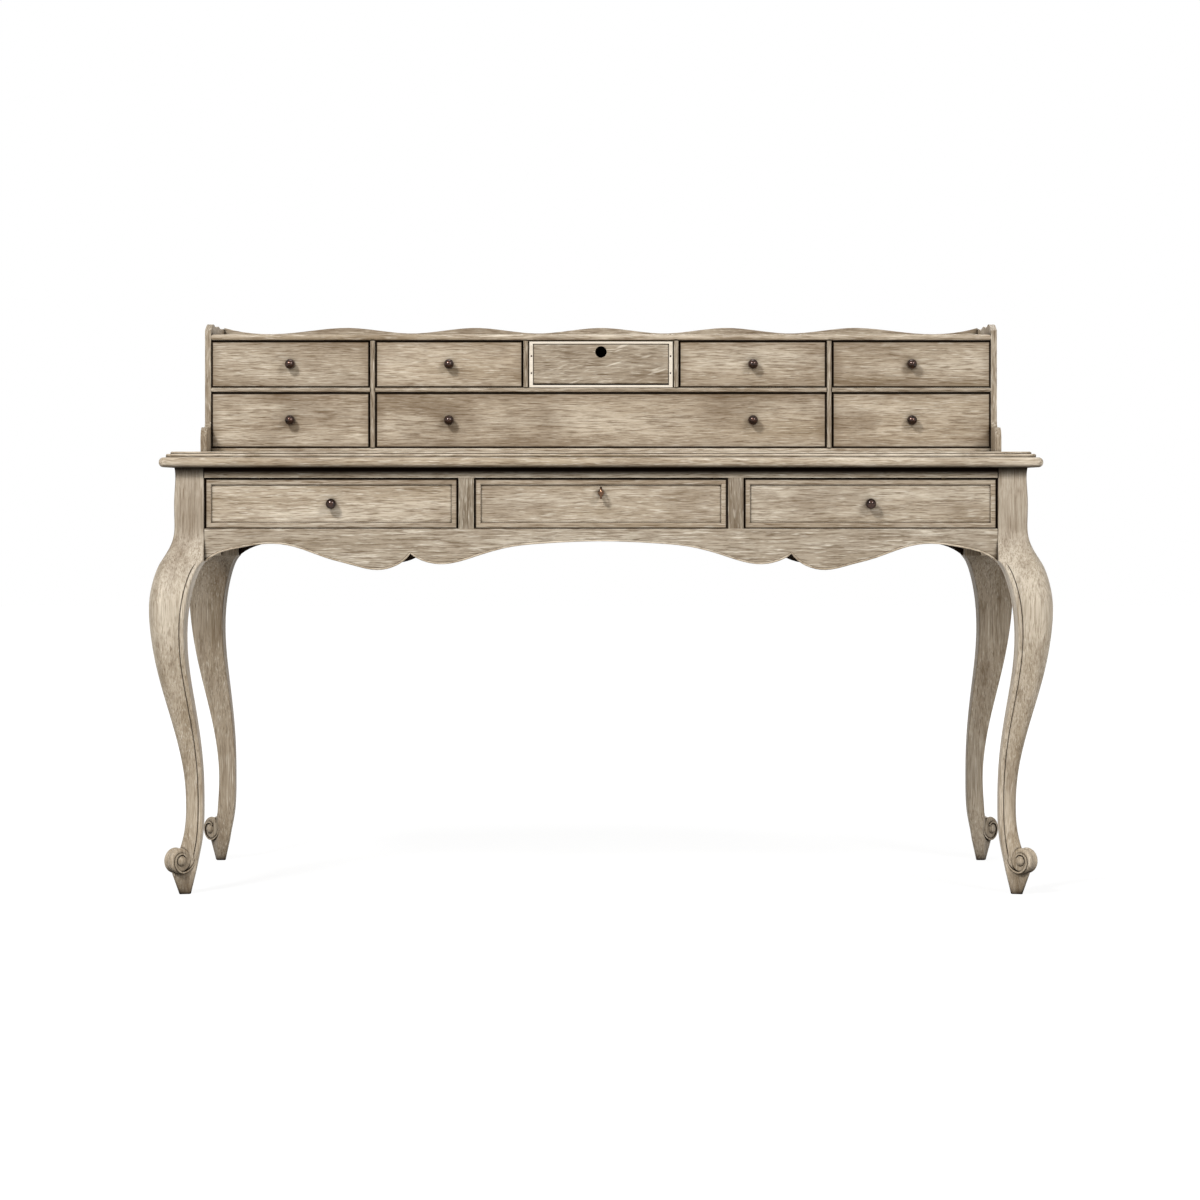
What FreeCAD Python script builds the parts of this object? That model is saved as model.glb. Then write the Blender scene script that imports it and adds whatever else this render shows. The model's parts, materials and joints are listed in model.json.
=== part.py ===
"""Writing desk on cabriole legs, with three apron drawers and a low drawer superstructure at the rear.

Millimetres. +X is the sitter's right, -Y is the front and +Z is up, from the floor under the centre.
"""
import FreeCAD, Part
import math
import os

V = FreeCAD.Vector

# Frame, over the outer faces of the leg posts
frame_width = 1468.0
frame_depth = 594.0
frame_height = 735.0
post_size = 52.0
post_edge_radius = 3.0

# Table top: a round-nosed lower tier, a bead tier and a thin upper tier
top_overhang = 25.0
top_corner_radius = 14.0
nose_thickness = 17.0
bead_thickness = 6.0
field_thickness = 4.0
bead_inset = 11.0
field_inset = 18.0
tier_rounding = 2.5

# Front frame and aprons
rail_height = 18.0
rail_depth = 50.0
opening_height = 87.5
stile_width = 26.5
apron_thickness = 22.0
apron_depth = 69.5

# Leg and scroll toe: a quirk runs down the inner edge of both outer faces to the spiral rib of the toe
quirk_inset = 7.0
quirk_width = 2.4
quirk_depth = 1.4
scroll_radius = 22.0
scroll_width = 28.0
scroll_height = 58.4
scroll_setback = 5.1
volute_radius = 16.0
shoulder_drop = 5.0
tread_groove = 1.8
eye_radius = 9.6
eye_rise = 5.5
end_recess = 2.2
rib_reach = 33.0
rib_width = 2.8
rib_depth = 7.0

# Carcass inside the frame
runner_width = 32.0
runner_thickness = 12.0
guide_height = 20.0
kicker_width = 40.0
block_reach = 70.0

# Drawers
drawer_gap = 2.2
slide_gap = 0.4
front_thickness = 18.0
moulding_width = 10.0
moulding_rise = 4.0
moulding_cove = 3.0
side_thickness = 10.0
bottom_thickness = 6.0
bottom_lift = 6.0
side_drop = 14.0
drawer_rear_room = 50.0

# Knobs
ball_radius = 9.2
neck_radius = 4.0
rose_radius = 8.0
rose_thickness = 3.0
knob_reach = 24.0
stud_radius = 2.0
stud_length = 9.0
stud_gap = 0.05

# Lock and key of the centre apron drawer
lock_width = 48.0
lock_height = 44.0
lock_thickness = 12.0
lock_wall = 2.0
bolt_width = 24.0
bolt_height = 14.0
bolt_travel = 7.0
bolt_gap = 0.3
mortise_gap = 2.0
key_drop = 23.8
key_shank_radius = 2.5
key_fit = 0.05
keyhole_radius = 4.0
key_collar_radius = 4.8
key_collar_length = 4.0
key_bow_radius = 11.0
key_bow_hole_radius = 6.0
key_bow_thickness = 4.0
key_stem = 10.0
key_bit_reach = 9.0
key_bit_length = 5.0
key_bit_thickness = 2.0

# Superstructure
gradin_end_inset = 36.5
gradin_depth = 235.0
gradin_rear_gap = 17.0
panel_thickness = 11.0
base_thickness = 12.0
lower_row = 100.5
shelf_thickness = 9.5
upper_row = 85.0
lid_thickness = 11.5
partition_thickness = 10.0
back_thickness = 8.0
centre_width = 264.5
inner_width = 269.5
front_recess = 2.0
gradin_gap = 1.6
gradin_front_thickness = 14.0
gradin_side_thickness = 8.0
gradin_bottom_thickness = 5.0
gradin_bottom_lift = 4.0
gradin_side_drop = 10.0
gradin_rear_room = 8.0

# Galleries and brackets
gallery_rise = 22.5
gallery_wave = 10.5
gallery_waves = 6
gallery_thickness = 10.0
side_gallery_rise = 20.0
bracket_reach = 72.0
bracket_height = 48.0
bracket_nose = 22.0
bracket_cove = 14.0

# Flap of the centre compartment
frame_gap = 1.5
frame_side = 6.5
frame_bar = 4.0
frame_thickness = 14.0
flap_gap = 1.2
flap_thickness = 10.0
flap_hole_radius = 10.5
flap_hole_drop = 13.7
pivot_radius = 1.5
pivot_setback = 4.0
pivot_seat = 8.0
pivot_reach = 5.0
pivot_fit = 0.05

# Room by which a cut runs past the face it starts from
overrun = 1.0

# Lower edge of the front and rear aprons: shares of the half length and of the apron depth.
# The outer run ends at a pointed notch, where the inner run starts.
outer_run_shares = [(1.0, 0.8), (0.96, 0.57), (0.913, 0.453), (0.818, 0.353), (0.764, 0.453),
                    (0.685, 0.727), (0.63, 0.87), (0.562, 1.0), (0.525, 0.928), (0.481, 0.597)]
inner_run_shares = [(0.481, 0.597), (0.45, 0.77), (0.408, 0.856), (0.308, 0.64), (0.224, 0.424),
                    (0.147, 0.345), (0.0, 0.288), (-0.147, 0.345), (-0.224, 0.424), (-0.308, 0.64),
                    (-0.408, 0.856), (-0.45, 0.77), (-0.481, 0.597)]

# Lower edge of a side apron, notched in the middle
side_run_shares = [(1.0, 0.8), (0.9, 0.52), (0.77, 0.4), (0.6, 0.47), (0.38, 0.76), (0.2, 0.86), (0.0, 0.6)]

# Leg above the shoulder: drop as a share of the post length; outer face and outer corner radius as shares of
# the post size
post_shares = [(0.0, 0.0, 0.07), (0.3, 0.0, 0.07), (0.55, 0.0, 0.08), (0.72, 0.02, 0.12), (0.826, 0.115, 0.2),
               (0.938, 0.298, 0.32), (1.0, 0.413, 0.38)]

# Leg below the shoulder, down into the whorl: height as a share of the shoulder height; outer face, inner face,
# outer corner radius and set-back of the outer faces at their inner edge as shares of the post size
leg_shares = [(1.0, 0.413, -1.0, 0.38, 0.0), (0.972, 0.565, -0.78, 0.44, 0.0),
              (0.939, 0.676, -0.646, 0.48, 0.0), (0.88, 0.782, -0.496, 0.5, 0.0),
              (0.8, 0.758, -0.41, 0.46, 0.0), (0.701, 0.599, -0.44, 0.38, 0.0),
              (0.582, 0.288, -0.612, 0.3, 0.0), (0.462, -0.057, -0.8, 0.24, 0.0),
              (0.342, -0.29, -0.903, 0.2, 0.0), (0.265, -0.334, -0.915, 0.2, 0.0),
              (0.163, -0.224, -0.864, 0.16, 0.05), (0.132, -0.12, -0.81, 0.1, 0.15),
              (0.1, 0.0, -0.743, 0.06, 0.34)]

# Straight tapered peg under the whorl, in the same shares
peg_shares = [(0.1, 0.0, -0.743, 0.06, 0.34), (0.065, 0.14, -0.67, 0.06, 0.4),
              (0.0, -0.13, -0.509, 0.06, 0.1)]

# Spiral rib of the toe, from inside the leg round the eye: shares of a full turn and of the rib's reach
rib_shares = [(-0.06, 0.95), (0.0, 0.9), (0.125, 0.74), (0.25, 0.64), (0.375, 0.53), (0.5, 0.47),
              (0.625, 0.44), (0.75, 0.41), (0.9, 0.37)]

# Scalloped top of a superstructure side, front to rear: shares of the depth and of the side gallery rise
scallop_shares = [(0.0, 0.35), (0.08, 0.72), (0.166, 1.0), (0.353, 0.77), (0.54, 1.0), (0.728, 0.77),
                  (0.915, 1.0), (1.0, 0.9)]

# Rounding of the nose and of the key bow, as shares of their thickness, just short of a full half round
nose_share = 0.47
bow_rounding_share = 0.45

# Places shared by several pieces
half_width = frame_width / 2
half_depth = frame_depth / 2
front = -half_depth
inner_x = half_width - post_size
inner_y = half_depth - post_size
side_face = half_width - apron_thickness
apron_back = front + apron_thickness
opening_top = frame_height - rail_height
opening_floor = opening_top - opening_height
opening_width = (2 * inner_x - 2 * stile_width) / 3
stile_x = (opening_width + stile_width) / 2
shoulder = opening_floor - apron_depth * outer_run_shares[0][1]
top_level = frame_height + nose_thickness + bead_thickness + field_thickness

gradin_rear = half_depth + top_overhang - gradin_rear_gap
gradin_front = gradin_rear - gradin_depth
gradin_inside = half_width + top_overhang - gradin_end_inset - panel_thickness
row_floor = top_level + base_thickness
shelf_under = row_floor + lower_row
shelf_level = shelf_under + shelf_thickness
lid_under = shelf_level + upper_row
lid_level = lid_under + lid_thickness
drawer_plane = gradin_front + front_recess
back_face = gradin_rear - back_thickness
divider_x = (centre_width + partition_thickness) / 2
partition_x = divider_x + inner_width + partition_thickness


def block(x, y, z):
    """A board between two places on each axis."""
    return Part.makeBox(x[1] - x[0], y[1] - y[0], z[1] - z[0], V(x[0], y[0], z[0]))


def ring(points):
    """A closed wire of straight edges."""
    return Part.Wire([Part.LineSegment(a, b).toShape() for a, b in zip(points, points[1:] + points[:1])])


def plate(points, thickness):
    """A polygon given its thickness along a vector."""
    return Part.Face(ring(points)).extrude(thickness)


def curve(points):
    """One smooth edge through the points."""
    spline = Part.BSplineCurve()
    spline.interpolate(points)
    return spline.toShape()


def line(a, b):
    return Part.LineSegment(a, b).toShape()


def arc(a, middle, b):
    return Part.Arc(a, middle, b).toShape()


def other_side(shape):
    return shape.mirror(V(0, 0, 0), V(1, 0, 0))


def rear_copy(shape):
    return shape.mirror(V(0, 0, 0), V(0, 1, 0))


def save(name, *solids):
    shape = solids[0] if len(solids) == 1 else Part.makeCompound(list(solids))
    shape.exportStep("parts/" + name + ".step")


def rounded_ring(corners):
    """A closed wire through (point, radius) corners, with an arc where a corner has a radius."""
    starts, arcs, ends = [], [], []
    for i, (point, radius) in enumerate(corners):
        before = (corners[i - 1][0] - point).normalize()
        after = (corners[(i + 1) % len(corners)][0] - point).normalize()
        half_angle = before.getAngle(after) / 2
        reach = radius / math.tan(half_angle) if radius else 0
        starts.append(point + before * reach)
        ends.append(point + after * reach)
        if radius:
            bisector = (before + after).normalize()
            middle = point + bisector * (radius / math.sin(half_angle) - radius)
            arcs.append(arc(starts[-1], middle, ends[-1]))
    sides = [line(a, b) for a, b in zip(ends, starts[1:] + starts[:1])]
    return Part.Wire(Part.__sortEdges__(sides + arcs))


def leg_section(height, outer, inner, corner, set_back):
    """A leg section, alike in X and Y: a large radius on the outer corner and a quirk on both outer faces."""
    depth = quirk_depth if scroll_height < height < shoulder else 0
    edge = V(inner, outer - set_back, 0)
    nose = V(outer, outer, 0)
    along = (nose - edge).normalize()
    into = V(along.y, -along.x, 0)
    quirk = [edge + along * (quirk_inset + quirk_width),
             edge + along * (quirk_inset + quirk_width / 2) + into * depth,
             edge + along * quirk_inset]
    face = [(point, 0) for point in quirk] + [(edge, post_edge_radius)]
    other_face = [(V(point.y, point.x, 0), radius) for point, radius in reversed(face)]
    corners = other_face + [(nose, corner)] + face + [(V(inner, inner, 0), post_edge_radius)]
    place = V(half_width, half_depth, height)
    return rounded_ring([(place + point, radius) for point, radius in corners])


def across_diagonal(shape):
    """The mirror image in the upright plane through the leg's inner and outer corners."""
    return shape.mirror(V(half_width, half_depth, 0), V(1, -1, 0))


def whorl():
    """The turned body of the toe: a hollow tread between round shoulders, and a domed eye on both ends."""
    half = scroll_width / 2
    floor = half - end_recess
    tread_edge = floor - shoulder_drop
    turn = math.sqrt(0.5)
    dome = (eye_radius ** 2 + eye_rise ** 2) / (2 * eye_rise)
    slope = math.asin(eye_radius / dome) / 2
    rise = floor + eye_rise
    dome_side = V(dome * math.sin(slope), 0, rise - dome + dome * math.cos(slope))
    shoulder_side = volute_radius + (scroll_radius - volute_radius) * turn
    shoulder_level = tread_edge + shoulder_drop * turn
    edges = [
        line(V(0, 0, 0), V(0, 0, rise)),
        arc(V(0, 0, rise), dome_side, V(eye_radius, 0, floor)),
        line(V(eye_radius, 0, floor), V(volute_radius, 0, floor)),
        arc(V(volute_radius, 0, floor), V(shoulder_side, 0, shoulder_level), V(scroll_radius, 0, tread_edge)),
        curve([V(scroll_radius, 0, tread_edge), V(scroll_radius - tread_groove * turn, 0, tread_edge / 2),
               V(scroll_radius - tread_groove, 0, 0)]),
        line(V(scroll_radius - tread_groove, 0, 0), V(0, 0, 0)),
    ]
    turned = Part.Face(Part.Wire(edges)).revolve(V(0, 0, 0), V(0, 0, 1), 360)
    centre = V(half_width - scroll_setback, half_depth - scroll_setback, scroll_height)
    turned.Placement = FreeCAD.Placement(centre, FreeCAD.Rotation(V(0, 0, 1), V(-1, 1, 0)))
    return turned.fuse(across_diagonal(turned)).removeSplitter()


def spiral_rib():
    """The rib that leaves the inner edge of the leg and winds round the eye on one end of the whorl."""
    turn = math.sqrt(0.5)
    outward = V(-turn, turn, 0)
    inward = V(-turn, -turn, 0)
    down = V(0, 0, -1)
    middle = V(half_width - scroll_setback, half_depth - scroll_setback, scroll_height)
    centre = middle + outward * (scroll_width / 2)

    def at(share, radius):
        angle = 2 * math.pi * share
        return centre + inward * (radius * math.cos(angle)) + down * (radius * math.sin(angle))

    outer = [at(share, reach * rib_reach) for share, reach in rib_shares]
    inner = [at(share, reach * rib_reach - rib_width) for share, reach in rib_shares]
    edges = [curve(outer), line(outer[-1], inner[-1]), curve(inner[::-1]), line(inner[0], outer[0])]
    return Part.Face(Part.Wire(edges)).extrude(outward * -rib_depth)


def cabriole_leg():
    post_length = frame_height - shoulder
    size = post_size

    def sections(shares):
        return [leg_section(share * shoulder, outer * size, inner * size, corner * size, back * size)
                for share, outer, inner, corner, back in shares]

    upper = [leg_section(frame_height - drop * post_length, outer * size, -size, corner * size, 0)
             for drop, outer, corner in post_shares]
    leg = Part.makeLoft(upper, True).fuse(Part.makeLoft(sections(leg_shares), True))
    leg = leg.fuse(Part.makeLoft(sections(peg_shares), True, True))
    rib = spiral_rib()
    return leg.fuse(whorl()).fuse(rib).fuse(across_diagonal(rib)).removeSplitter()


def shaped_board(top, half_length, runs, place, thickness):
    """A board whose lower edge follows smooth runs; place turns (length, z) to a point."""
    edges = []
    for run in runs:
        points = [place(along * half_length, opening_floor - drop * apron_depth) for along, drop in run]
        edges.append(curve(points))
    first, last = runs[0][0], runs[-1][-1]
    left = [place(first[0] * half_length, opening_floor - first[1] * apron_depth), place(half_length, top)]
    right = [place(-half_length, top), place(last[0] * half_length, opening_floor - last[1] * apron_depth)]
    edges += [line(right[1], right[0]), line(right[0], left[1]), line(left[1], left[0])]
    return Part.Face(Part.Wire(Part.__sortEdges__(edges))).extrude(thickness)


def mirrored_run(run):
    return [(-along, drop) for along, drop in reversed(run)]


def long_apron(top):
    runs = [outer_run_shares, inner_run_shares, mirrored_run(outer_run_shares)]
    return shaped_board(top, inner_x, runs, lambda x, z: V(x, front, z), V(0, apron_thickness, 0))


def side_apron():
    runs = [side_run_shares, mirrored_run(side_run_shares)]
    inward = V(-apron_thickness, 0, 0)
    return shaped_board(frame_height, inner_y, runs, lambda y, z: V(half_width, y, z), inward)


def tier(inset, low, high):
    """One tier of the table top, with rounded corners in plan."""
    x = half_width + top_overhang - inset
    y = half_depth + top_overhang - inset
    board = block((-x, x), (-y, y), (low, high))
    uprights = [e for e in board.Edges if abs(e.BoundBox.ZLength - (high - low)) < overrun]
    return board.makeFillet(top_corner_radius, uprights)


def rounded_rim(board, radius, levels):
    """Rounds the horizontal edges of a tier at the given levels."""
    rim = [e for e in board.Edges if e.BoundBox.ZLength < radius
           and min(abs(e.BoundBox.ZMin - level) for level in levels) < radius / 2]
    return board.makeFillet(radius, rim)


def table_top():
    nose_level = frame_height + nose_thickness
    bead_level = nose_level + bead_thickness
    nose = tier(0, frame_height, nose_level)
    nose = rounded_rim(nose, nose_thickness * nose_share, [frame_height, nose_level])
    bead = rounded_rim(tier(bead_inset, nose_level, bead_level), tier_rounding, [bead_level])
    field = rounded_rim(tier(field_inset, bead_level, top_level), tier_rounding, [top_level])
    return nose.fuse(bead).fuse(field).removeSplitter()


def round_nosed(low, high, place, span):
    """A board between two faces with a half-round front edge; place turns (across, y) to a point."""
    radius = (high - low) / 2
    middle = (high + low) / 2
    start = gradin_front + radius
    edges = [
        line(place(low, back_face), place(low, start)),
        arc(place(low, start), place(middle, gradin_front), place(high, start)),
        line(place(high, start), place(high, back_face)),
        line(place(high, back_face), place(low, back_face)),
    ]
    return Part.Face(Part.Wire(edges)).extrude(span)


def upright(x, low, high):
    half = partition_thickness / 2
    return round_nosed(x - half, x + half, lambda across, y: V(across, y, low), V(0, 0, high - low))


def shelf(low, high, left, right):
    return round_nosed(low, high, lambda across, y: V(left, y, across), V(right - left, 0, 0))


def gradin_side():
    """Right-hand side panel: a scalloped top and a low round-nosed bracket in front."""
    x = gradin_inside
    tip = gradin_front - bracket_reach
    step = top_level + bracket_height
    turn = 1 - math.sqrt(0.5)

    def at(y, z):
        return V(x, y, z)

    scallops = [at(gradin_front + along * gradin_depth, lid_level + rise * side_gallery_rise)
                for along, rise in scallop_shares]
    edges = [
        line(at(tip, top_level), at(gradin_rear, top_level)),
        line(at(gradin_rear, top_level), scallops[-1]),
        curve(scallops),
        line(scallops[0], at(gradin_front, step + bracket_cove)),
        arc(at(gradin_front, step + bracket_cove),
            at(gradin_front - bracket_cove * turn, step + bracket_cove * turn),
            at(gradin_front - bracket_cove, step)),
        line(at(gradin_front - bracket_cove, step), at(tip + bracket_nose, step)),
        arc(at(tip + bracket_nose, step), at(tip + bracket_nose * turn, step - bracket_nose * turn),
            at(tip, step - bracket_nose)),
        line(at(tip, step - bracket_nose), at(tip, top_level)),
    ]
    return Part.Face(Part.Wire(Part.__sortEdges__(edges))).extrude(V(panel_thickness, 0, 0))


def gallery_rail():
    """Wavy rail along the rear of the lid, with a crest at each end."""
    step = 2 * gradin_inside / (2 * gallery_waves)
    face = gradin_rear - gallery_thickness
    crest = lid_level + gallery_rise
    wave = [V(-gradin_inside + i * step, face, crest - (i % 2) * gallery_wave)
            for i in range(2 * gallery_waves + 1)]
    ends = [V(-gradin_inside, face, lid_level), V(gradin_inside, face, lid_level)]
    edges = [line(ends[0], wave[0]), curve(wave), line(wave[-1], ends[1]), line(ends[1], ends[0])]
    return Part.Face(Part.Wire(edges)).extrude(V(0, gallery_thickness, 0))


def knob(x, face, z):
    """A ball knob turned with its neck, rose and stud; face is the drawer face that the rose sits on."""
    ball_middle = knob_reach - ball_radius
    meet = math.sqrt(ball_radius ** 2 - neck_radius ** 2)
    edges = [
        line(V(0, 0, -stud_length), V(0, 0, knob_reach)),
        arc(V(0, 0, knob_reach), V(ball_radius, 0, ball_middle), V(neck_radius, 0, ball_middle - meet)),
        line(V(neck_radius, 0, ball_middle - meet), V(neck_radius, 0, rose_thickness)),
        line(V(neck_radius, 0, rose_thickness), V(rose_radius, 0, rose_thickness / 2)),
        line(V(rose_radius, 0, rose_thickness / 2), V(rose_radius, 0, 0)),
        line(V(rose_radius, 0, 0), V(stud_radius, 0, 0)),
        line(V(stud_radius, 0, 0), V(stud_radius, 0, -stud_length)),
        line(V(stud_radius, 0, -stud_length), V(0, 0, -stud_length)),
    ]
    turned = Part.Face(Part.Wire(edges)).revolve(V(0, 0, 0), V(0, 0, 1), 360)
    turned.Placement = FreeCAD.Placement(V(x, face, z), FreeCAD.Rotation(V(0, 0, 1), V(0, -1, 0)))
    return turned


def stud_hole(x, face, z):
    depth = stud_length + stud_gap + overrun
    return Part.makeCylinder(stud_radius + stud_gap, depth, V(x, face - overrun, z), V(0, 1, 0))


def drawer_front(x, y, z, knobs):
    """A plain front with a blind hole for each knob's stud."""
    board = block(x, y, z)
    for place in knobs:
        board = board.cut(stud_hole(place, y[0], (z[0] + z[1]) / 2))
    return board


def drawer_box(x, y, z, wall, bottom, lift):
    """Two sides, a back between them and a bottom board let in above their lower edges."""
    back = (y[1] - wall, y[1])
    inside = (x[0] + wall, x[1] - wall)
    return [
        block((x[0], inside[0]), y, z),
        block((inside[1], x[1]), y, z),
        block(inside, back, z),
        block(inside, (y[0], back[0]), (z[0] + lift, z[0] + lift + bottom)),
    ]


def mitred_strip(start, end, inward, face):
    """One border strip: an ovolo-edged section run along its side and cut at both ends on the mitre."""
    along = (end - start).normalize()
    run = end - start
    out = V(0, -1, 0)
    back = start + V(0, face, 0)
    flat = moulding_width - moulding_cove
    turn = math.sqrt(0.5)

    def at(across, rise):
        return back + inward * across + out * rise

    low = moulding_rise - moulding_cove
    section = [
        line(back, at(moulding_width, 0)),
        line(at(moulding_width, 0), at(moulding_width, low)),
        arc(at(moulding_width, low), at(flat + moulding_cove * turn, low + moulding_cove * turn),
            at(flat, moulding_rise)),
        line(at(flat, moulding_rise), at(0, moulding_rise)),
        line(at(0, moulding_rise), back),
    ]
    strip = Part.Face(Part.Wire(section)).extrude(run)
    corners = [back, back + run, back + run + (inward - along) * moulding_width,
               back + (inward + along) * moulding_width]
    return strip.common(plate(corners, out * moulding_rise))


def border(x, face, z):
    """Four mitred strips around a drawer front."""
    a, b, c, d = V(x[0], 0, z[0]), V(x[1], 0, z[0]), V(x[1], 0, z[1]), V(x[0], 0, z[1])
    return [
        mitred_strip(a, b, V(0, 0, 1), face),
        mitred_strip(b, c, V(-1, 0, 0), face),
        mitred_strip(c, d, V(0, 0, -1), face),
        mitred_strip(d, a, V(1, 0, 0), face),
    ]


# Places in the lock: the case is screwed to the back of the centre drawer front
panel_face = front + moulding_rise
panel_back = panel_face + front_thickness
front_top = opening_top - drawer_gap
key_z = front_top - key_drop
lock_back = panel_back + lock_thickness
cavity_front = panel_back + lock_wall
cavity_back = lock_back - lock_wall
bolt_y = (cavity_front + bolt_gap, cavity_back - bolt_gap)
bolt_x = (-bolt_width / 2, bolt_width / 2)
bolt_z = (front_top - bolt_height, front_top)


def grown(pair, room):
    return (pair[0] - room, pair[1] + room)


def lock_case():
    half = lock_width / 2
    low = front_top - lock_height
    case = block((-half, half), (panel_back, lock_back), (low, front_top))
    cavity = block((lock_wall - half, half - lock_wall), (cavity_front, cavity_back),
                   (low + lock_wall, front_top - lock_wall))
    slot = block(grown(bolt_x, bolt_gap), (cavity_front, cavity_back),
                 (front_top - lock_wall - overrun, front_top + overrun))
    keyhole = Part.makeCylinder(key_shank_radius + key_fit, lock_wall + 2 * overrun,
                                V(0, panel_back - overrun, key_z), V(0, 1, 0))
    return case.cut(cavity).cut(slot).cut(keyhole)


def key():
    """Ring bow, collar, round shank and a bit that hangs down inside the lock case."""
    collar_back = panel_face - slide_gap
    collar_front = collar_back - key_collar_length
    bow_y = collar_front - key_stem
    tip = cavity_back - slide_gap
    bit_back = tip - slide_gap
    along = V(0, 1, 0)
    shank = Part.makeCylinder(key_shank_radius, tip - bow_y - key_bow_hole_radius,
                              V(0, bow_y + key_bow_hole_radius, key_z), along)
    collar = Part.makeCylinder(key_collar_radius, key_collar_length, V(0, collar_front, key_z), along)
    bow_start = V(-key_bow_thickness / 2, bow_y, key_z)
    bow = Part.makeCylinder(key_bow_radius, key_bow_thickness, bow_start, V(1, 0, 0))
    bow = bow.makeFillet(key_bow_thickness * bow_rounding_share, bow.Edges[0:1] + bow.Edges[2:3])
    hole = Part.makeCylinder(key_bow_hole_radius, key_bow_thickness, bow_start, V(1, 0, 0))
    bit = block((-key_bit_thickness / 2, key_bit_thickness / 2), (bit_back - key_bit_length, bit_back),
                (key_z - key_bit_reach, key_z))
    return bow.cut(hole).fuse(shank).fuse(collar).fuse(bit).removeSplitter()


def save_table():
    save("table_top", table_top())
    leg = cabriole_leg()
    save("leg_rear_right", leg)
    save("leg_rear_left", other_side(leg))
    save("leg_front_right", rear_copy(leg))
    save("leg_front_left", other_side(rear_copy(leg)))

    rail = block((-inner_x, inner_x), (front, front + rail_depth), (opening_top, frame_height))
    mortise = block(grown(bolt_x, mortise_gap), grown(bolt_y, mortise_gap),
                    (opening_top - overrun, front_top + bolt_travel + mortise_gap))
    save("front_top_rail", rail.cut(mortise))
    save("front_apron", long_apron(opening_floor))
    save("rear_apron", rear_copy(long_apron(frame_height)))
    save("side_apron_right", side_apron())
    save("side_apron_left", other_side(side_apron()))

    half_stile = stile_width / 2
    stile = block((stile_x - half_stile, stile_x + half_stile), (front, apron_back),
                  (opening_floor, opening_top))
    save("drawer_stiles", other_side(stile), stile)


def save_carcass():
    """Runners, guides, kickers and corner blocks on the right, each with its mirror image on the left."""
    half_stile = stile_width / 2
    length = (apron_back, -apron_back)
    runner_z = (opening_floor - runner_thickness, opening_floor)
    guide_z = (opening_floor, opening_floor + guide_height)
    reach = half_stile + runner_width
    carriers = [
        block((stile_x - reach, stile_x + reach), length, runner_z),
        block((stile_x - half_stile, stile_x + half_stile), length, guide_z),
        block((inner_x - runner_width, inner_x), length, runner_z),
        block((inner_x, side_face), (-inner_y, inner_y), (runner_z[0], guide_z[1])),
    ]
    save("drawer_runners", *carriers, *[other_side(c) for c in carriers])

    kicker_y = (front + rail_depth, -apron_back)
    kicker_z = (opening_top, frame_height)
    half_kicker = kicker_width / 2
    kickers = [
        block((stile_x - half_kicker, stile_x + half_kicker), kicker_y, kicker_z),
        block((inner_x - kicker_width, inner_x), kicker_y, kicker_z),
    ]
    save("drawer_kickers", *kickers, *[other_side(k) for k in kickers])

    under = runner_z[0] - runner_thickness
    corner = [V(inner_x, inner_y, under), V(side_face, inner_y, under),
              V(side_face, inner_y - block_reach, under), V(inner_x - block_reach, -apron_back, under),
              V(inner_x, -apron_back, under)]
    brace = plate(corner, V(0, 0, runner_thickness))
    braces = [brace, rear_copy(brace)]
    save("corner_blocks", *braces, *[other_side(b) for b in braces])


def save_apron_drawers():
    for name, middle in (("left", -2 * stile_x), ("centre", 0), ("right", 2 * stile_x)):
        half = opening_width / 2 - drawer_gap
        x = (middle - half, middle + half)
        z = (opening_floor + slide_gap, front_top)
        knobs = [middle] if middle else []
        board = drawer_front(x, (panel_face, panel_back), z, knobs)
        if middle:
            save("apron_knob_" + name, knob(middle, panel_face, (z[0] + z[1]) / 2))
        else:
            keyhole = Part.makeCylinder(keyhole_radius, front_thickness, V(0, panel_face, key_z), V(0, 1, 0))
            board = board.cut(keyhole)
        save("apron_drawer_front_" + name, board)
        save("apron_drawer_moulding_" + name, *border(x, panel_face, z))
        box_y = (panel_back, -apron_back - drawer_rear_room)
        box_z = (z[0], z[1] - side_drop)
        box = drawer_box(x, box_y, box_z, side_thickness, bottom_thickness, bottom_lift)
        save("apron_drawer_box_" + name, *box)
    save("lock_case", lock_case())
    save("lock_bolt", block(bolt_x, bolt_y, bolt_z))
    save("key", key())


def save_gradin():
    side = gradin_side()
    save("gradin_side_right", side)
    save("gradin_side_left", other_side(side))
    save("gradin_bottom", shelf(top_level, row_floor, -gradin_inside, gradin_inside))
    lid = shelf(lid_under, lid_level, -gradin_inside, gradin_inside)
    lid_rear = block((-gradin_inside, gradin_inside), (back_face, gradin_rear), (lid_under, lid_level))
    save("gradin_top", lid.fuse(lid_rear).removeSplitter())
    back = block((-gradin_inside, gradin_inside), (back_face, gradin_rear), (top_level, lid_under))
    save("gradin_back", back)
    save("gallery_rail", gallery_rail())

    partition = upright(partition_x, row_floor, lid_under)
    divider = upright(divider_x, shelf_level, lid_under)
    save("gradin_partitions", other_side(partition), other_side(divider), divider, partition)
    half = partition_thickness / 2
    outer_shelf = shelf(shelf_under, shelf_level, partition_x + half, gradin_inside)
    centre_shelf = shelf(shelf_under, shelf_level, half - partition_x, partition_x - half)
    save("gradin_shelves", other_side(outer_shelf), centre_shelf, outer_shelf)


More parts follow.
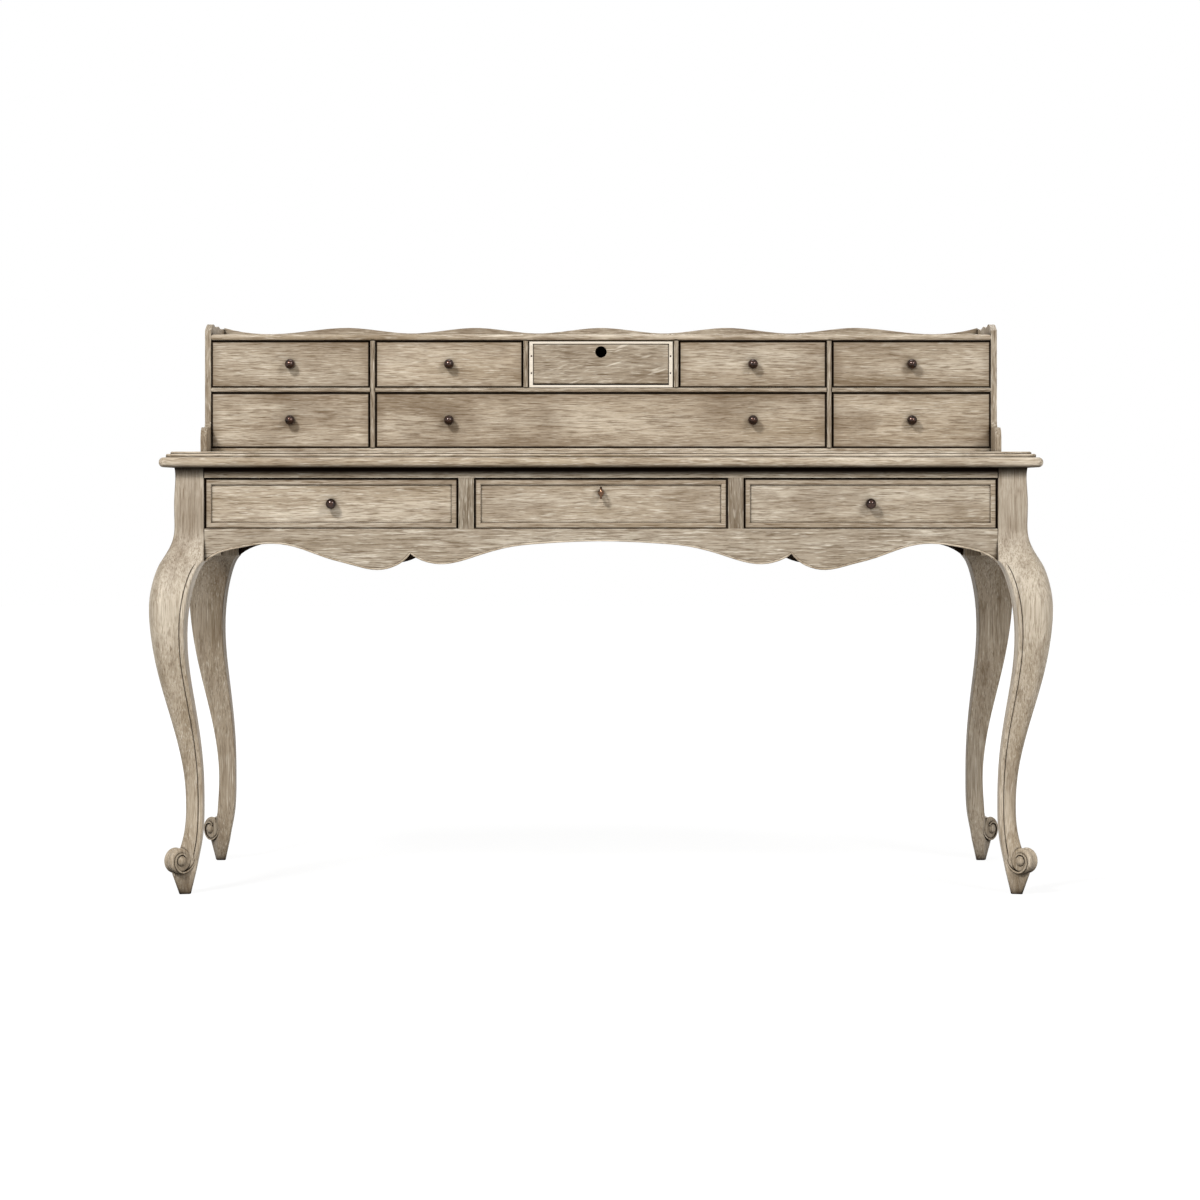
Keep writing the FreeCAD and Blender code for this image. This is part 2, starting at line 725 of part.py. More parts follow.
def save_gradin_drawer(name, left, right, row, knobs):
    """One superstructure drawer in the compartment between two faces of a row."""
    x = (left + gradin_gap, right - gradin_gap)
    z = (row[0] + slide_gap, row[1] - gradin_gap)
    y = (drawer_plane, drawer_plane + gradin_front_thickness)
    middle = (z[0] + z[1]) / 2
    save("gradin_drawer_front_" + name, drawer_front(x, y, z, knobs))
    save("gradin_knob_" + name, *[knob(place, drawer_plane, middle) for place in knobs])
    box_y = (y[1], back_face - gradin_rear_room)
    box_z = (z[0], z[1] - gradin_side_drop)
    box = drawer_box(x, box_y, box_z, gradin_side_thickness, gradin_bottom_thickness, gradin_bottom_lift)
    save("gradin_drawer_box_" + name, *box)


def save_gradin_drawers():
    lower = (row_floor, shelf_under)
    upper = (shelf_level, lid_under)
    half = partition_thickness / 2
    outer = (partition_x + half, gradin_inside)
    inner = (divider_x + half, partition_x - half)
    outer_middle = sum(outer) / 2
    inner_middle = sum(inner) / 2
    for row_name, row in (("lower", lower), ("upper", upper)):
        save_gradin_drawer("outer_left_" + row_name, -outer[1], -outer[0], row, [-outer_middle])
        save_gradin_drawer("outer_right_" + row_name, outer[0], outer[1], row, [outer_middle])
    save_gradin_drawer("inner_left", -inner[1], -inner[0], upper, [-inner_middle])
    save_gradin_drawer("inner_right", inner[0], inner[1], upper, [inner_middle])
    save_gradin_drawer("wide", -inner[1], inner[1], lower, [-inner_middle, inner_middle])


def save_flap():
    """The pale frame of the centre compartment, and the flap that hangs in it on two pivot pins."""
    half = centre_width / 2 - frame_gap
    frame_top = lid_under - frame_gap
    frame_y = (drawer_plane, drawer_plane + frame_thickness)
    flap_half = half - frame_side - flap_gap
    flap_z = (shelf_level + frame_bar + flap_gap, frame_top - frame_bar - flap_gap)
    flap_y = (drawer_plane + front_recess, drawer_plane + front_recess + flap_thickness)
    axis_y = flap_y[0] + pivot_setback
    axis_z = flap_z[0] + pivot_setback

    def pivot(start, length, radius):
        return Part.makeCylinder(radius, length, V(start, axis_y, axis_z), V(1, 0, 0))

    surround = block((-half, half), frame_y, (shelf_level, frame_top))
    window = block((frame_side - half, half - frame_side), grown(frame_y, overrun),
                   (shelf_level + frame_bar, frame_top - frame_bar))
    reach = flap_half + flap_gap + pivot_reach
    sockets = pivot(-reach - pivot_fit, 2 * reach + 2 * pivot_fit, pivot_radius + pivot_fit)
    save("flap_frame", surround.cut(window).cut(sockets))

    panel = block((-flap_half, flap_half), flap_y, flap_z)
    lower_edges = [e for e in panel.Edges if e.BoundBox.ZMax < axis_z and e.BoundBox.YMax < axis_y]
    panel = panel.makeFillet(pivot_setback, lower_edges)
    hole = V(0, flap_y[0], flap_z[1] - flap_hole_drop)
    panel = panel.cut(Part.makeCylinder(flap_hole_radius, flap_thickness, hole, V(0, 1, 0)))
    for start in (-flap_half, flap_half - pivot_seat):
        panel = panel.cut(pivot(start, pivot_seat, pivot_radius))
    save("flap_panel", panel)
    pin = pivot(flap_half - pivot_seat, reach - flap_half + pivot_seat, pivot_radius)
    save("flap_pivots", other_side(pin), pin)


os.makedirs("parts", exist_ok=True)
save_table()
save_carcass()
save_apron_drawers()
save_gradin()
save_gradin_drawers()
save_flap()
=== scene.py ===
# %% [markdown]
# This lesson dresses a writing desk of limed oak: cabriole legs with scroll toes, a scalloped apron with
# drawers, and a low drawer superstructure at the rear. The joinery comes from the imported frame, at its real
# size and place, so the lesson starts by loading that frame.

# %% Load the frame
import json
import math

import bmesh
import bpy
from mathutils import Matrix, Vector


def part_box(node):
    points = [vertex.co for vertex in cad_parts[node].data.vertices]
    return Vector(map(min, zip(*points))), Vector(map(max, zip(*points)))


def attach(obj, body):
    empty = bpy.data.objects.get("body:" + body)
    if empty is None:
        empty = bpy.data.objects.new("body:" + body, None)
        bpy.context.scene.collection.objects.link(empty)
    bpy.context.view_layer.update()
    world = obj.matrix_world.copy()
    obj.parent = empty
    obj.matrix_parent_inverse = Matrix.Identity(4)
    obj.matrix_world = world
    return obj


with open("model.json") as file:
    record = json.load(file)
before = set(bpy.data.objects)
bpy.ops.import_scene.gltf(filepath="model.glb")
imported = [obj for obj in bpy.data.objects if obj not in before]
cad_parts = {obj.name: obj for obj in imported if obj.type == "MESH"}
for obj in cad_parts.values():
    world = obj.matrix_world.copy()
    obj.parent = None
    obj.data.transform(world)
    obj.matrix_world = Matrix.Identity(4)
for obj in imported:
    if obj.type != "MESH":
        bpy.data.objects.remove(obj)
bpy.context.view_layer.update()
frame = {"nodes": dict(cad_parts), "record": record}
nodes = frame["nodes"]
bpy.ops.object.select_all(action="DESELECT")

# %% [markdown]
# The desk is seen straight from the front, by a long lens from about six metres. The eye is a little below
# the table top, so the top shows as a thin edge. The picture is framed lower than the eye looks, and a lens
# shift does that without tilting the camera, which would make the legs converge.

# %% Camera
EYE = (0.0, -6.286, 0.688)
LEVEL = (math.radians(90), 0, 0)
SENSOR_WIDTH = 36.0
FOCAL_LENGTH = 104.5
FRAME_SHIFT = (-0.0008, -0.0878)
FARTHEST_SEEN = 50.0

bpy.ops.object.camera_add(location=EYE, rotation=LEVEL)
camera = bpy.context.object
camera.name = "studio_camera"
camera.data.sensor_width = SENSOR_WIDTH
camera.data.lens = FOCAL_LENGTH
camera.data.shift_x = FRAME_SHIFT[0]
camera.data.shift_y = FRAME_SHIFT[1]
camera.data.clip_end = FARTHEST_SEEN
bpy.context.scene.camera = camera
bpy.context.scene.view_settings.view_transform = "Standard"
print("camera at", EYE, "lens", FOCAL_LENGTH)

# %% [markdown]
# Floor, room and finishes are all small trees of nodes, in which the same few steps come up again and
# again: a step of arithmetic, a range stretched to another, a ramp of colours, a mix of two colours. Each
# step gets a helper, so that a finish reads as a list of layers. Colours are written as a picture program
# shows them and turned to the linear values of a shader.

# %% Helpers for node trees
# A Mix node has sockets of the same names for numbers and colours, so its colour sockets go by their place.
MIX_FACTOR = 0
MIX_UNDER = 6
MIX_OVER = 7
MIX_COLOUR = 2


def srgb(red, green, blue):
    """A picture colour, 0 to 255, as the linear colour that a shader takes, by the sRGB curve."""
    linear = []
    for value in (red / 255, green / 255, blue / 255):
        linear.append(value / 12.92 if value <= 0.04045 else ((value + 0.055) / 1.055) ** 2.4)
    return (*linear, 1)


def calculated(tree, operation, *terms):
    """One step of arithmetic, whose terms are sockets or plain numbers."""
    node = tree.nodes.new("ShaderNodeMath")
    node.operation = operation
    for socket, term in zip(node.inputs, terms):
        if isinstance(term, bpy.types.NodeSocket):
            tree.links.new(term, socket)
        else:
            socket.default_value = term
    return node.outputs[0]


def ranged(tree, value, start, end, low, high):
    """A value that runs from start to end, stretched to run from low to high, and held there beyond."""
    node = tree.nodes.new("ShaderNodeMapRange")
    node.inputs["From Min"].default_value = start
    node.inputs["From Max"].default_value = end
    node.inputs["To Min"].default_value = low
    node.inputs["To Max"].default_value = high
    tree.links.new(value, node.inputs["Value"])
    return node.outputs["Result"]


def ramp(tree, value, *stops):
    """A colour ramp through (position, colour) stops; a plain number stands for a grey."""
    node = tree.nodes.new("ShaderNodeValToRGB")
    while len(node.color_ramp.elements) < len(stops):
        node.color_ramp.elements.new(0.5)
    for element, (position, colour) in zip(node.color_ramp.elements, stops):
        element.position = position
        element.color = colour if isinstance(colour, tuple) else (colour, colour, colour, 1)
    tree.links.new(value, node.inputs["Fac"])
    return node.outputs["Color"]


def mask(tree, value, none, full, strength):
    """A mask with nothing where a value is at none, and its strength where the value is at full."""
    return ramp(tree, value, *sorted(((none, 0.0), (full, strength))))


def blended(tree, share, under, over):
    """A colour with a fixed one laid over it by a mask."""
    node = tree.nodes.new("ShaderNodeMix")
    node.data_type = "RGBA"
    node.inputs[MIX_OVER].default_value = over
    tree.links.new(share, node.inputs[MIX_FACTOR])
    tree.links.new(under, node.inputs[MIX_UNDER])
    return node.outputs[MIX_COLOUR]


def split(tree, vector):
    """The X, Y and Z of a vector."""
    node = tree.nodes.new("ShaderNodeSeparateXYZ")
    tree.links.new(vector, node.inputs["Vector"])
    return node.outputs


print("half grey as a linear value:", round(srgb(128, 128, 128)[0], 3))

# %% [markdown]
# The studio is a white room without corners. The floor has to stay white to the eye and still hold the
# shadow of the feet, so most of its brightness is given to camera, glossy and transmission rays only, and
# the rest is an ordinary pale surface that the lamps and the desk's shadow fall on. Away from the desk the
# lamps fade, so the glow rises there and the floor runs into the white of the room without a line.

# %% Floor
FLOOR_SIZE = 30.0
FLOOR_GREY = 0.62
GLOW_SHARE = 0.8
GLOW_NEAR = 1.13
GLOW_FAR = 1.3
NEAR_REACH = 0.8
FAR_REACH = 1.9


def seen_directly(tree):
    """A socket that is 1 for camera, glossy and transmission rays, and 0 for light that falls on things."""
    path = tree.nodes.new("ShaderNodeLightPath")
    seen = calculated(tree, "MAXIMUM", path.outputs["Is Camera Ray"], path.outputs["Is Glossy Ray"])
    return calculated(tree, "MAXIMUM", seen, path.outputs["Is Transmission Ray"])


def pale_floor():
    """A plain pale surface under a share of glow that rises with the distance from the desk."""
    finish = bpy.data.materials.new("pale_floor")
    finish.use_nodes = True
    tree = finish.node_tree
    tree.nodes.clear()
    out = tree.nodes.new("ShaderNodeOutputMaterial")
    plain = tree.nodes.new("ShaderNodeBsdfDiffuse")
    plain.inputs["Color"].default_value = (FLOOR_GREY, FLOOR_GREY, FLOOR_GREY, 1)
    coords = tree.nodes.new("ShaderNodeTexCoord")
    distance = tree.nodes.new("ShaderNodeVectorMath")
    distance.operation = "LENGTH"
    tree.links.new(coords.outputs["Object"], distance.inputs[0])
    glow = tree.nodes.new("ShaderNodeEmission")
    strength = ranged(tree, distance.outputs["Value"], NEAR_REACH, FAR_REACH, GLOW_NEAR, GLOW_FAR)
    tree.links.new(strength, glow.inputs["Strength"])
    mix = tree.nodes.new("ShaderNodeMixShader")
    tree.links.new(calculated(tree, "MULTIPLY", seen_directly(tree), GLOW_SHARE), mix.inputs[0])
    tree.links.new(plain.outputs[0], mix.inputs[1])
    tree.links.new(glow.outputs[0], mix.inputs[2])
    tree.links.new(mix.outputs[0], out.inputs["Surface"])
    return finish


bpy.ops.mesh.primitive_plane_add(size=FLOOR_SIZE)
floor = bpy.context.object
floor.name = "studio_floor"
floor.data.materials.append(pale_floor())
print(floor.name, FLOOR_SIZE, "m square")

# %% [markdown]
# The room itself is the world. The eye and the metals see it as pure white, but as a light it is weak, so
# that the lamps shape the mouldings and it only softens their shadows.

# %% World
WORLD_LIGHT = 0.16
WORLD_SEEN = 1.0

world = bpy.data.worlds.new("studio")
bpy.context.scene.world = world
world.use_nodes = True
tree = world.node_tree
tree.nodes.clear()
out = tree.nodes.new("ShaderNodeOutputWorld")
white = tree.nodes.new("ShaderNodeBackground")
white.inputs["Color"].default_value = (1, 1, 1, 1)
strength = tree.nodes.new("ShaderNodeMix")
strength.inputs["A"].default_value = WORLD_LIGHT
strength.inputs["B"].default_value = WORLD_SEEN
tree.links.new(seen_directly(tree), strength.inputs["Factor"])
tree.links.new(strength.outputs["Result"], white.inputs["Strength"])
tree.links.new(white.outputs[0], out.inputs["Surface"])
print("world light:", WORLD_LIGHT)

# %% [markdown]
# Four round softboxes light the desk. The strongest stands at the left in front and draws the shadows of
# knobs and mouldings, a weaker one at the right opens them, and two weak ones above and behind keep the top
# and the back board from going dull.

# %% Lamps
LOWER_AIM = (0, 0, 0.6)
UPPER_AIM = (0, 0, 0.7)
# Each softbox: name, place, aim, width in metres, watts.
SOFTBOXES = (
    ("key_softbox", (-2.3, -3.9, 3.9), LOWER_AIM, 1.0, 245),
    ("fill_softbox", (2.7, -4.2, 3.1), LOWER_AIM, 1.5, 130),
    ("top_softbox", (0.0, 0.9, 3.6), UPPER_AIM, 1.8, 35),
    ("rear_softbox", (0.8, 4.4, 3.0), UPPER_AIM, 2.0, 60),
)

for name, place, aim, width, watts in SOFTBOXES:
    bpy.ops.object.light_add(type="AREA", location=place)
    lamp = bpy.context.object
    lamp.name = name
    lamp.data.shape = "DISK"
    lamp.data.size = width
    lamp.data.energy = watts
    lamp.rotation_euler = (Vector(aim) - Vector(place)).to_track_quat("-Z", "Y").to_euler()
    print(name, watts, "W")

# %% [markdown]
# Wood is noise stretched along its grain. An image of wood would show its seams on the curved legs, while
# noise in Object coordinates runs through the piece as real grain does. A shift of those coordinates gives
# every board its own part of the tree.

# %% Helpers for grain
GRAIN_AXES = {"x": 0, "y": 1, "z": 2}


def new_finish(name):
    """An empty material with its shader; returns the material, its tree and the shader."""
    material = bpy.data.materials.new(name)
    material.use_nodes = True
    tree = material.node_tree
    tree.nodes.clear()
    out = tree.nodes.new("ShaderNodeOutputMaterial")
    shader = tree.nodes.new("ShaderNodeBsdfPrincipled")
    tree.links.new(shader.outputs[0], out.inputs["Surface"])
    return material, tree, shader


def place_of(tree, shift):
    """Object coordinates moved by a shift, so that two boards don't show the same piece of tree."""
    coords = tree.nodes.new("ShaderNodeTexCoord")
    mapping = tree.nodes.new("ShaderNodeMapping")
    mapping.inputs["Location"].default_value = shift
    tree.links.new(coords.outputs["Object"], mapping.inputs["Vector"])
    return mapping.outputs["Vector"]


def turned(tree, place, angle):
    """A place turned about the front-to-back axis."""
    mapping = tree.nodes.new("ShaderNodeMapping")
    mapping.inputs["Rotation"].default_value = (0, angle, 0)
    tree.links.new(place, mapping.inputs["Vector"])
    return mapping.outputs["Vector"]


def stretched_noise(tree, place, grain, along, across, detail, roughness):
    """Noise with `along` waves a metre down the grain and `across` waves a metre over it."""
    scale = [across, across, across]
    scale[GRAIN_AXES[grain]] = along
    mapping = tree.nodes.new("ShaderNodeMapping")
    mapping.inputs["Scale"].default_value = scale
    noise = tree.nodes.new("ShaderNodeTexNoise")
    noise.inputs["Scale"].default_value = 1.0
    noise.inputs["Detail"].default_value = detail
    noise.inputs["Roughness"].default_value = roughness
    tree.links.new(place, mapping.inputs["Vector"])
    tree.links.new(mapping.outputs["Vector"], noise.inputs["Vector"])
    return noise.outputs["Fac"]


def bump(tree, shader, height, depth, strength):
    """A fine relief of the surface, depth metres deep."""
    node = tree.nodes.new("ShaderNodeBump")
    node.inputs["Distance"].default_value = depth
    node.inputs["Strength"].default_value = strength
    tree.links.new(height, node.inputs["Height"])
    tree.links.new(node.outputs["Normal"], shader.inputs["Normal"])


print("grain runs along", ", ".join(GRAIN_AXES))

# %% [markdown]
# Inside, the desk is plain: drawer linings and runners of pale, unwaxed timber, and a frame of almost white
# wood around the flap. They have straight grain in broad bands with fine dark lines, and no glaze.

# %% Plain timbers
# Noise of the bands and lines: waves a metre along and across the grain, detail, roughness.
TIMBER_BANDS = (1.1, 42.0, 4.0, 0.6)
TIMBER_LINES = (8.0, 420.0, 3.0, 0.55)
TIMBER_DARK_AT = 0.32
TIMBER_LIGHT_AT = 0.68
# Mask of the lines: the noise where there is nothing, the noise where it is full, its strength.
TIMBER_LINE_MASK = (0.52, 0.36, 0.35)
TIMBER_DULLING = 0.15
TIMBER_GLOSS = 0.3
TIMBER_RELIEF = 0.0004
TIMBER_RELIEF_STRENGTH = 0.3


def plain_timber(name, grain, shift, dark, light, roughness):
    """Planed timber between two colours, with its grain along an axis."""
    material, tree, shader = new_finish(name)
    place = place_of(tree, shift)
    bands = stretched_noise(tree, place, grain, *TIMBER_BANDS)
    lines = stretched_noise(tree, place, grain, *TIMBER_LINES)
    colour = ramp(tree, bands, (TIMBER_DARK_AT, dark), (TIMBER_LIGHT_AT, light))
    colour = blended(tree, mask(tree, lines, *TIMBER_LINE_MASK), colour, dark)
    tree.links.new(colour, shader.inputs["Base Color"])
    dull = ranged(tree, lines, 0.0, 1.0, roughness, roughness + TIMBER_DULLING)
    tree.links.new(dull, shader.inputs["Roughness"])
    shader.inputs["Specular IOR Level"].default_value = TIMBER_GLOSS
    bump(tree, shader, lines, TIMBER_RELIEF, TIMBER_RELIEF_STRENGTH)
    return material


lining = plain_timber("drawer_lining", "y", (0.2, 0.4, 0.1), srgb(166, 138, 100), srgb(204, 180, 142),
                      roughness=0.6)
lipping = plain_timber("pale_lipping", "x", (0.7, 0.1, 0.3), srgb(202, 191, 173), srgb(235, 227, 214),
                       roughness=0.45)
print("timbers:", lining.name, lipping.name)

# %% [markdown]
# The knobs are brass under a dark bronze patina and a coat of lacquer, which takes the one bright glint of
# the lamp; the key is paler, and the lock is plain steel. Metal needs little colour of its own: a cloudy
# patina, fine rub marks in the roughness and the white room to reflect do the rest.

# %% Metals
# Detail and roughness of the patina's noise, whose clouds are as wide as they are long.
PATINA = (5.0, 0.6)
PATINA_DEEP_AT = 0.38
PATINA_BRIGHT_AT = 0.7
# Noise of the rub marks: waves a metre along and across, detail, roughness.
RUB_MARKS = (900.0, 2600.0, 2.0, 0.55)
RUB_SHARE = 0.3
RUB_DULLING = 0.22
RUB_RELIEF = 0.0001
RUB_RELIEF_STRENGTH = 0.15
LACQUER_ROUGHNESS = 0.06


def aged_metal(name, shift, deep, bright, polish, cloud, lacquer=0.0):
    """Metal whose patina runs from a deep colour to a bright one in `cloud` waves a metre."""
    material, tree, shader = new_finish(name)
    place = place_of(tree, shift)
    patina = stretched_noise(tree, place, "z", cloud, cloud, *PATINA)
    rubs = stretched_noise(tree, place, "z", *RUB_MARKS)
    colour = ramp(tree, patina, (PATINA_DEEP_AT, deep), (PATINA_BRIGHT_AT, bright))
    tree.links.new(colour, shader.inputs["Base Color"])
    shader.inputs["Metallic"].default_value = 1.0
    shader.inputs["Coat Weight"].default_value = lacquer
    shader.inputs["Coat Roughness"].default_value = LACQUER_ROUGHNESS
    worn = calculated(tree, "MULTIPLY_ADD", rubs, RUB_SHARE, patina)
    tree.links.new(ranged(tree, worn, 0.0, 1.0, polish, polish + RUB_DULLING), shader.inputs["Roughness"])
    bump(tree, shader, rubs, RUB_RELIEF, RUB_RELIEF_STRENGTH)
    return material


bronze = aged_metal("dark_bronze", (0, 0, 0), srgb(36, 22, 16), srgb(74, 46, 33),
                    polish=0.12, cloud=160.0, lacquer=0.6)
brass = aged_metal("aged_brass", (0.3, 0, 0), srgb(66, 40, 27), srgb(158, 116, 82),
                   polish=0.14, cloud=420.0, lacquer=0.6)
steel = aged_metal("lock_steel", (0.6, 0, 0), srgb(112, 110, 106), srgb(168, 166, 160),
                   polish=0.35, cloud=90.0)
print("metals:", bronze.name, brass.name, steel.name)

# %% [markdown]
# Limed oak is brushed so that its soft grain opens, rubbed with pale lime, and then waxed with a brown
# glaze. The wood under the wax comes first: broad bands of growth, fine dark fibres, brown pores and short
# pale dashes of lime. On the knees of the front legs the bands are paler, partly as wear where they have been
# rubbed and partly as a painted highlight where the knee faces the light from above, but the fibres over them
# stay.

# %% Grain of the oak
LIME = srgb(232, 223, 206)
BAND_COLOURS = ((0.3, (158, 142, 119)), (0.48, (182, 167, 146)), (0.66, (202, 189, 169)))
FIBRE_BROWN = (118, 100, 78)
PORE_BROWN = (104, 85, 64)
# Noise of each layer: waves a metre along and across the grain, detail, roughness.
BANDS = (2.2, 24.0, 4.0, 0.6)
FIBRES = (23.0, 430.0, 4.0, 0.72)
PORES = (30.0, 460.0, 2.0, 0.6)
DASHES = (36.0, 560.0, 2.0, 0.6)
# Mask of each layer: the noise where there is nothing, and the noise where it is full.
FIBRE_MASK = (0.54, 0.36)
PORE_MASK = (0.57, 0.7)
DASH_MASK = (0.55, 0.72)
FIBRE_STRENGTH = 0.8
PORE_STRENGTH = 0.7
DASH_STRENGTH = 0.55


def fade_along(tree, axis, full, none, strength):
    """A mask with its strength where a coordinate is at full, and nothing where it is at none."""
    coords = tree.nodes.new("ShaderNodeTexCoord")
    return ranged(tree, split(tree, coords.outputs["Object"])[axis], full, none, strength, 0.0)


def oak_grain(tree, place, grain, tone, worn, length, contrast):
    """The bare limed wood; returns its colour, its fibres and its dashes of lime."""

    def layer(along, across, detail, roughness):
        return stretched_noise(tree, place, grain, along / length, across, detail, roughness)

    def toned(colour):
        return srgb(*[value * tone for value in colour])

    fibres = layer(*FIBRES)
    dashes = layer(*DASHES)
    colour = ramp(tree, layer(*BANDS), *[(position, toned(band)) for position, band in BAND_COLOURS])
    # The paler knee is partly wear and partly a painted highlight where the knee faces the light from above.
    if worn:
        colour = blended(tree, fade_along(tree, *worn), colour, LIME)
    fibre_mask = mask(tree, fibres, *FIBRE_MASK, FIBRE_STRENGTH * contrast)
    colour = blended(tree, fibre_mask, colour, toned(FIBRE_BROWN))
    pore_mask = mask(tree, layer(*PORES), *PORE_MASK, PORE_STRENGTH * contrast)
    colour = blended(tree, pore_mask, colour, toned(PORE_BROWN))
    dash_mask = mask(tree, dashes, *DASH_MASK, DASH_STRENGTH * contrast)
    colour = blended(tree, dash_mask, colour, LIME)
    return colour, fibres, dashes


print("bands of growth:", len(BAND_COLOURS), "colours")

# %% [markdown]
# The brown glaze stays along the border of a drawer front. Shade is painted into the colour as well: a thin
# dark line at that border stands for the gap, parts of a board that lie under another fade to the dark, and
# every corner where two surfaces meet darkens, as painted shade with some grime. A border and a fade are
# measured from the board's own box, while the corners are found by ambient occlusion, which sees how near
# other faces are.

# %% Glaze and painted shade
# The brown glaze of the finish, also used for the painted shade at the tops of the front posts and to darken
# the front legs towards their feet.
GLAZE_AND_SHADE = srgb(98, 79, 58)
# A near-black brown for painted shade under the top, in the gaps around drawer fronts and in corners, where
# some grime is mixed in.
GRIME_AND_SHADE = srgb(22, 13, 7)
FRONT_FACING = -0.5
# Glaze along a border, and a thin line of painted shade for the gap: reach in metres, strength, colour.
BORDER_FADES = ((0.02, 0.4, GLAZE_AND_SHADE), (0.0026, 1.6, GRIME_AND_SHADE))
# Painted shade in corners, the narrow ones with some grime in them: reach in metres, openness where it is
# full, openness where there is nothing, strength.
DEEP_SHADOW = (0.13, 0.3, 0.62, 0.7)
CORNER_SHADOWS = ((0.016, 0.25, 0.86, 0.95), (0.005, 0.4, 0.9, 0.85))
CORNER_SAMPLES = 8


def near_edge(tree, box, reach, strength):
    """A mask that rises to its strength at the border of a drawer's face, whose box gives the four edges. The
    sides of the board, which show when the drawer is pulled, stay clear of it."""
    coords = tree.nodes.new("ShaderNodeTexCoord")
    place = split(tree, coords.outputs["Object"])
    low, high = box
    nearest = calculated(tree, "SUBTRACT", place["X"], low[0])
    for distance in (
        calculated(tree, "SUBTRACT", high[0], place["X"]),
        calculated(tree, "SUBTRACT", place["Z"], low[2]),
        calculated(tree, "SUBTRACT", high[2], place["Z"]),
    ):
        nearest = calculated(tree, "MINIMUM", nearest, distance)
    fade = ranged(tree, nearest, 0.0, reach, strength, 0.0)
    facing = split(tree, coords.outputs["Normal"])
    on_face = calculated(tree, "LESS_THAN", facing["Y"], FRONT_FACING)
    return calculated(tree, "MULTIPLY", fade, on_face)


def shadow_in(tree, colour, reach, deepest, clear, strength):
    """Painted shade, with some grime, where other surfaces are near: at its strength in the deepest corners
    and none in the clear.
    """
    corner = tree.nodes.new("ShaderNodeAmbientOcclusion")
    corner.samples = CORNER_SAMPLES
    corner.inputs["Distance"].default_value = reach
    return blended(tree, mask(tree, corner.outputs["AO"], clear, deepest, strength), colour, GRIME_AND_SHADE)


def glazed_and_shaded(tree, colour, border, shade_fades, deep):
    """A colour with the glaze of its borders, and the painted shade of its gap lines, its fades and its
    corners, with some grime in the corners.
    """
    if border:
        for reach, strength, wax in BORDER_FADES:
            colour = blended(tree, near_edge(tree, border, reach, strength), colour, wax)
    # Mostly painted shade: fades to dark where the top or the frame keeps the lamps off.
    for axis, full, none, strength, shade_colour in shade_fades:
        colour = blended(tree, fade_along(tree, axis, full, none, strength), colour, shade_colour)
    # A wide painted shade on boards that lie inside the frame.
    if deep:
        colour = shadow_in(tree, colour, *DEEP_SHADOW)
    for shadow in CORNER_SHADOWS:
        colour = shadow_in(tree, colour, *shadow)
    return colour


print("shadows in corners:", len(CORNER_SHADOWS), "and a wide one on inner boards")

# %% [markdown]
# The whole finish puts these together: the grain, cloudy patches of glaze, the pale rays of a quarter-sawn
# board, which cross its grain at a slant and so have their noise turned before it is stretched, and the
# glaze and painted shade. The gloss follows the colour, because the white room would otherwise lie as a grey
# haze on the dark corners.

# %% Limed oak
# Mask of the glaze patches and of the rays: the noise where there is nothing, and the noise where it is full.
CLOUD_MASK = (0.49, 0.72)
RAY_MASK = (0.6, 0.7)
CLOUD_STRENGTH = 0.56
CLOUD_ALONG = 6.0
CLOUD_DETAIL = 5.0
CLOUD_ROUGHNESS = 0.62
# Noise of the rays: waves a metre along and across the grain, detail, roughness.
RAYS = (16.0, 120.0, 2.0, 0.55)
RAY_SLANT = math.radians(18)
FIBRE_POLISH = 0.42
FIBRE_DULL = 0.66
MATT_COLOUR = 0.08
GLOSSY_COLOUR = 0.45
OAK_GLOSS = 0.34
DASH_RELIEF_SHARE = 0.7
OAK_RELIEF = 0.0008
OAK_RELIEF_STRENGTH = 0.4


def limed_oak(name, grain, shift, tone=1.0, figure=0.0, border=None, shade_fades=(), worn=None,
              length=1.0, contrast=1.0, patch=13.0, deep=False):
    """Oak with its grain along an axis. tone lightens or darkens the board, figure is the strength of its
    pale rays, border is the box of a drawer front, along whose edges the glaze has stayed dark and a thin line
    of painted shade stands for the gap, shade_fades are fades to a darker colour, mostly painted shade, as
    (axis, full, none, strength, colour), worn is a fade to the pale under the grain, partly wear and partly a
    painted highlight, length stretches the fibres, contrast strengthens them, patch is the number of glaze
    patches a metre across the grain, and deep boards get a wide painted shade inside the frame."""
    material, tree, shader = new_finish(name)
    place = place_of(tree, shift)
    colour, fibres, dashes = oak_grain(tree, place, grain, tone, worn, length, contrast)
    clouds = stretched_noise(tree, place, grain, CLOUD_ALONG, patch, CLOUD_DETAIL, CLOUD_ROUGHNESS)
    colour = blended(tree, mask(tree, clouds, *CLOUD_MASK, CLOUD_STRENGTH), colour, GLAZE_AND_SHADE)
    if figure:
        rays = stretched_noise(tree, turned(tree, place, RAY_SLANT), grain, *RAYS)
        colour = blended(tree, mask(tree, rays, *RAY_MASK, figure), colour, LIME)
    colour = glazed_and_shaded(tree, colour, border, shade_fades, deep)
    tree.links.new(colour, shader.inputs["Base Color"])
    tree.links.new(ranged(tree, fibres, 0.0, 1.0, FIBRE_POLISH, FIBRE_DULL), shader.inputs["Roughness"])
    gloss = ranged(tree, colour, MATT_COLOUR, GLOSSY_COLOUR, 0.0, OAK_GLOSS)
    tree.links.new(gloss, shader.inputs["Specular IOR Level"])
    relief = calculated(tree, "MULTIPLY_ADD", dashes, DASH_RELIEF_SHARE, fibres)
    bump(tree, shader, relief, OAK_RELIEF, OAK_RELIEF_STRENGTH)
    return material


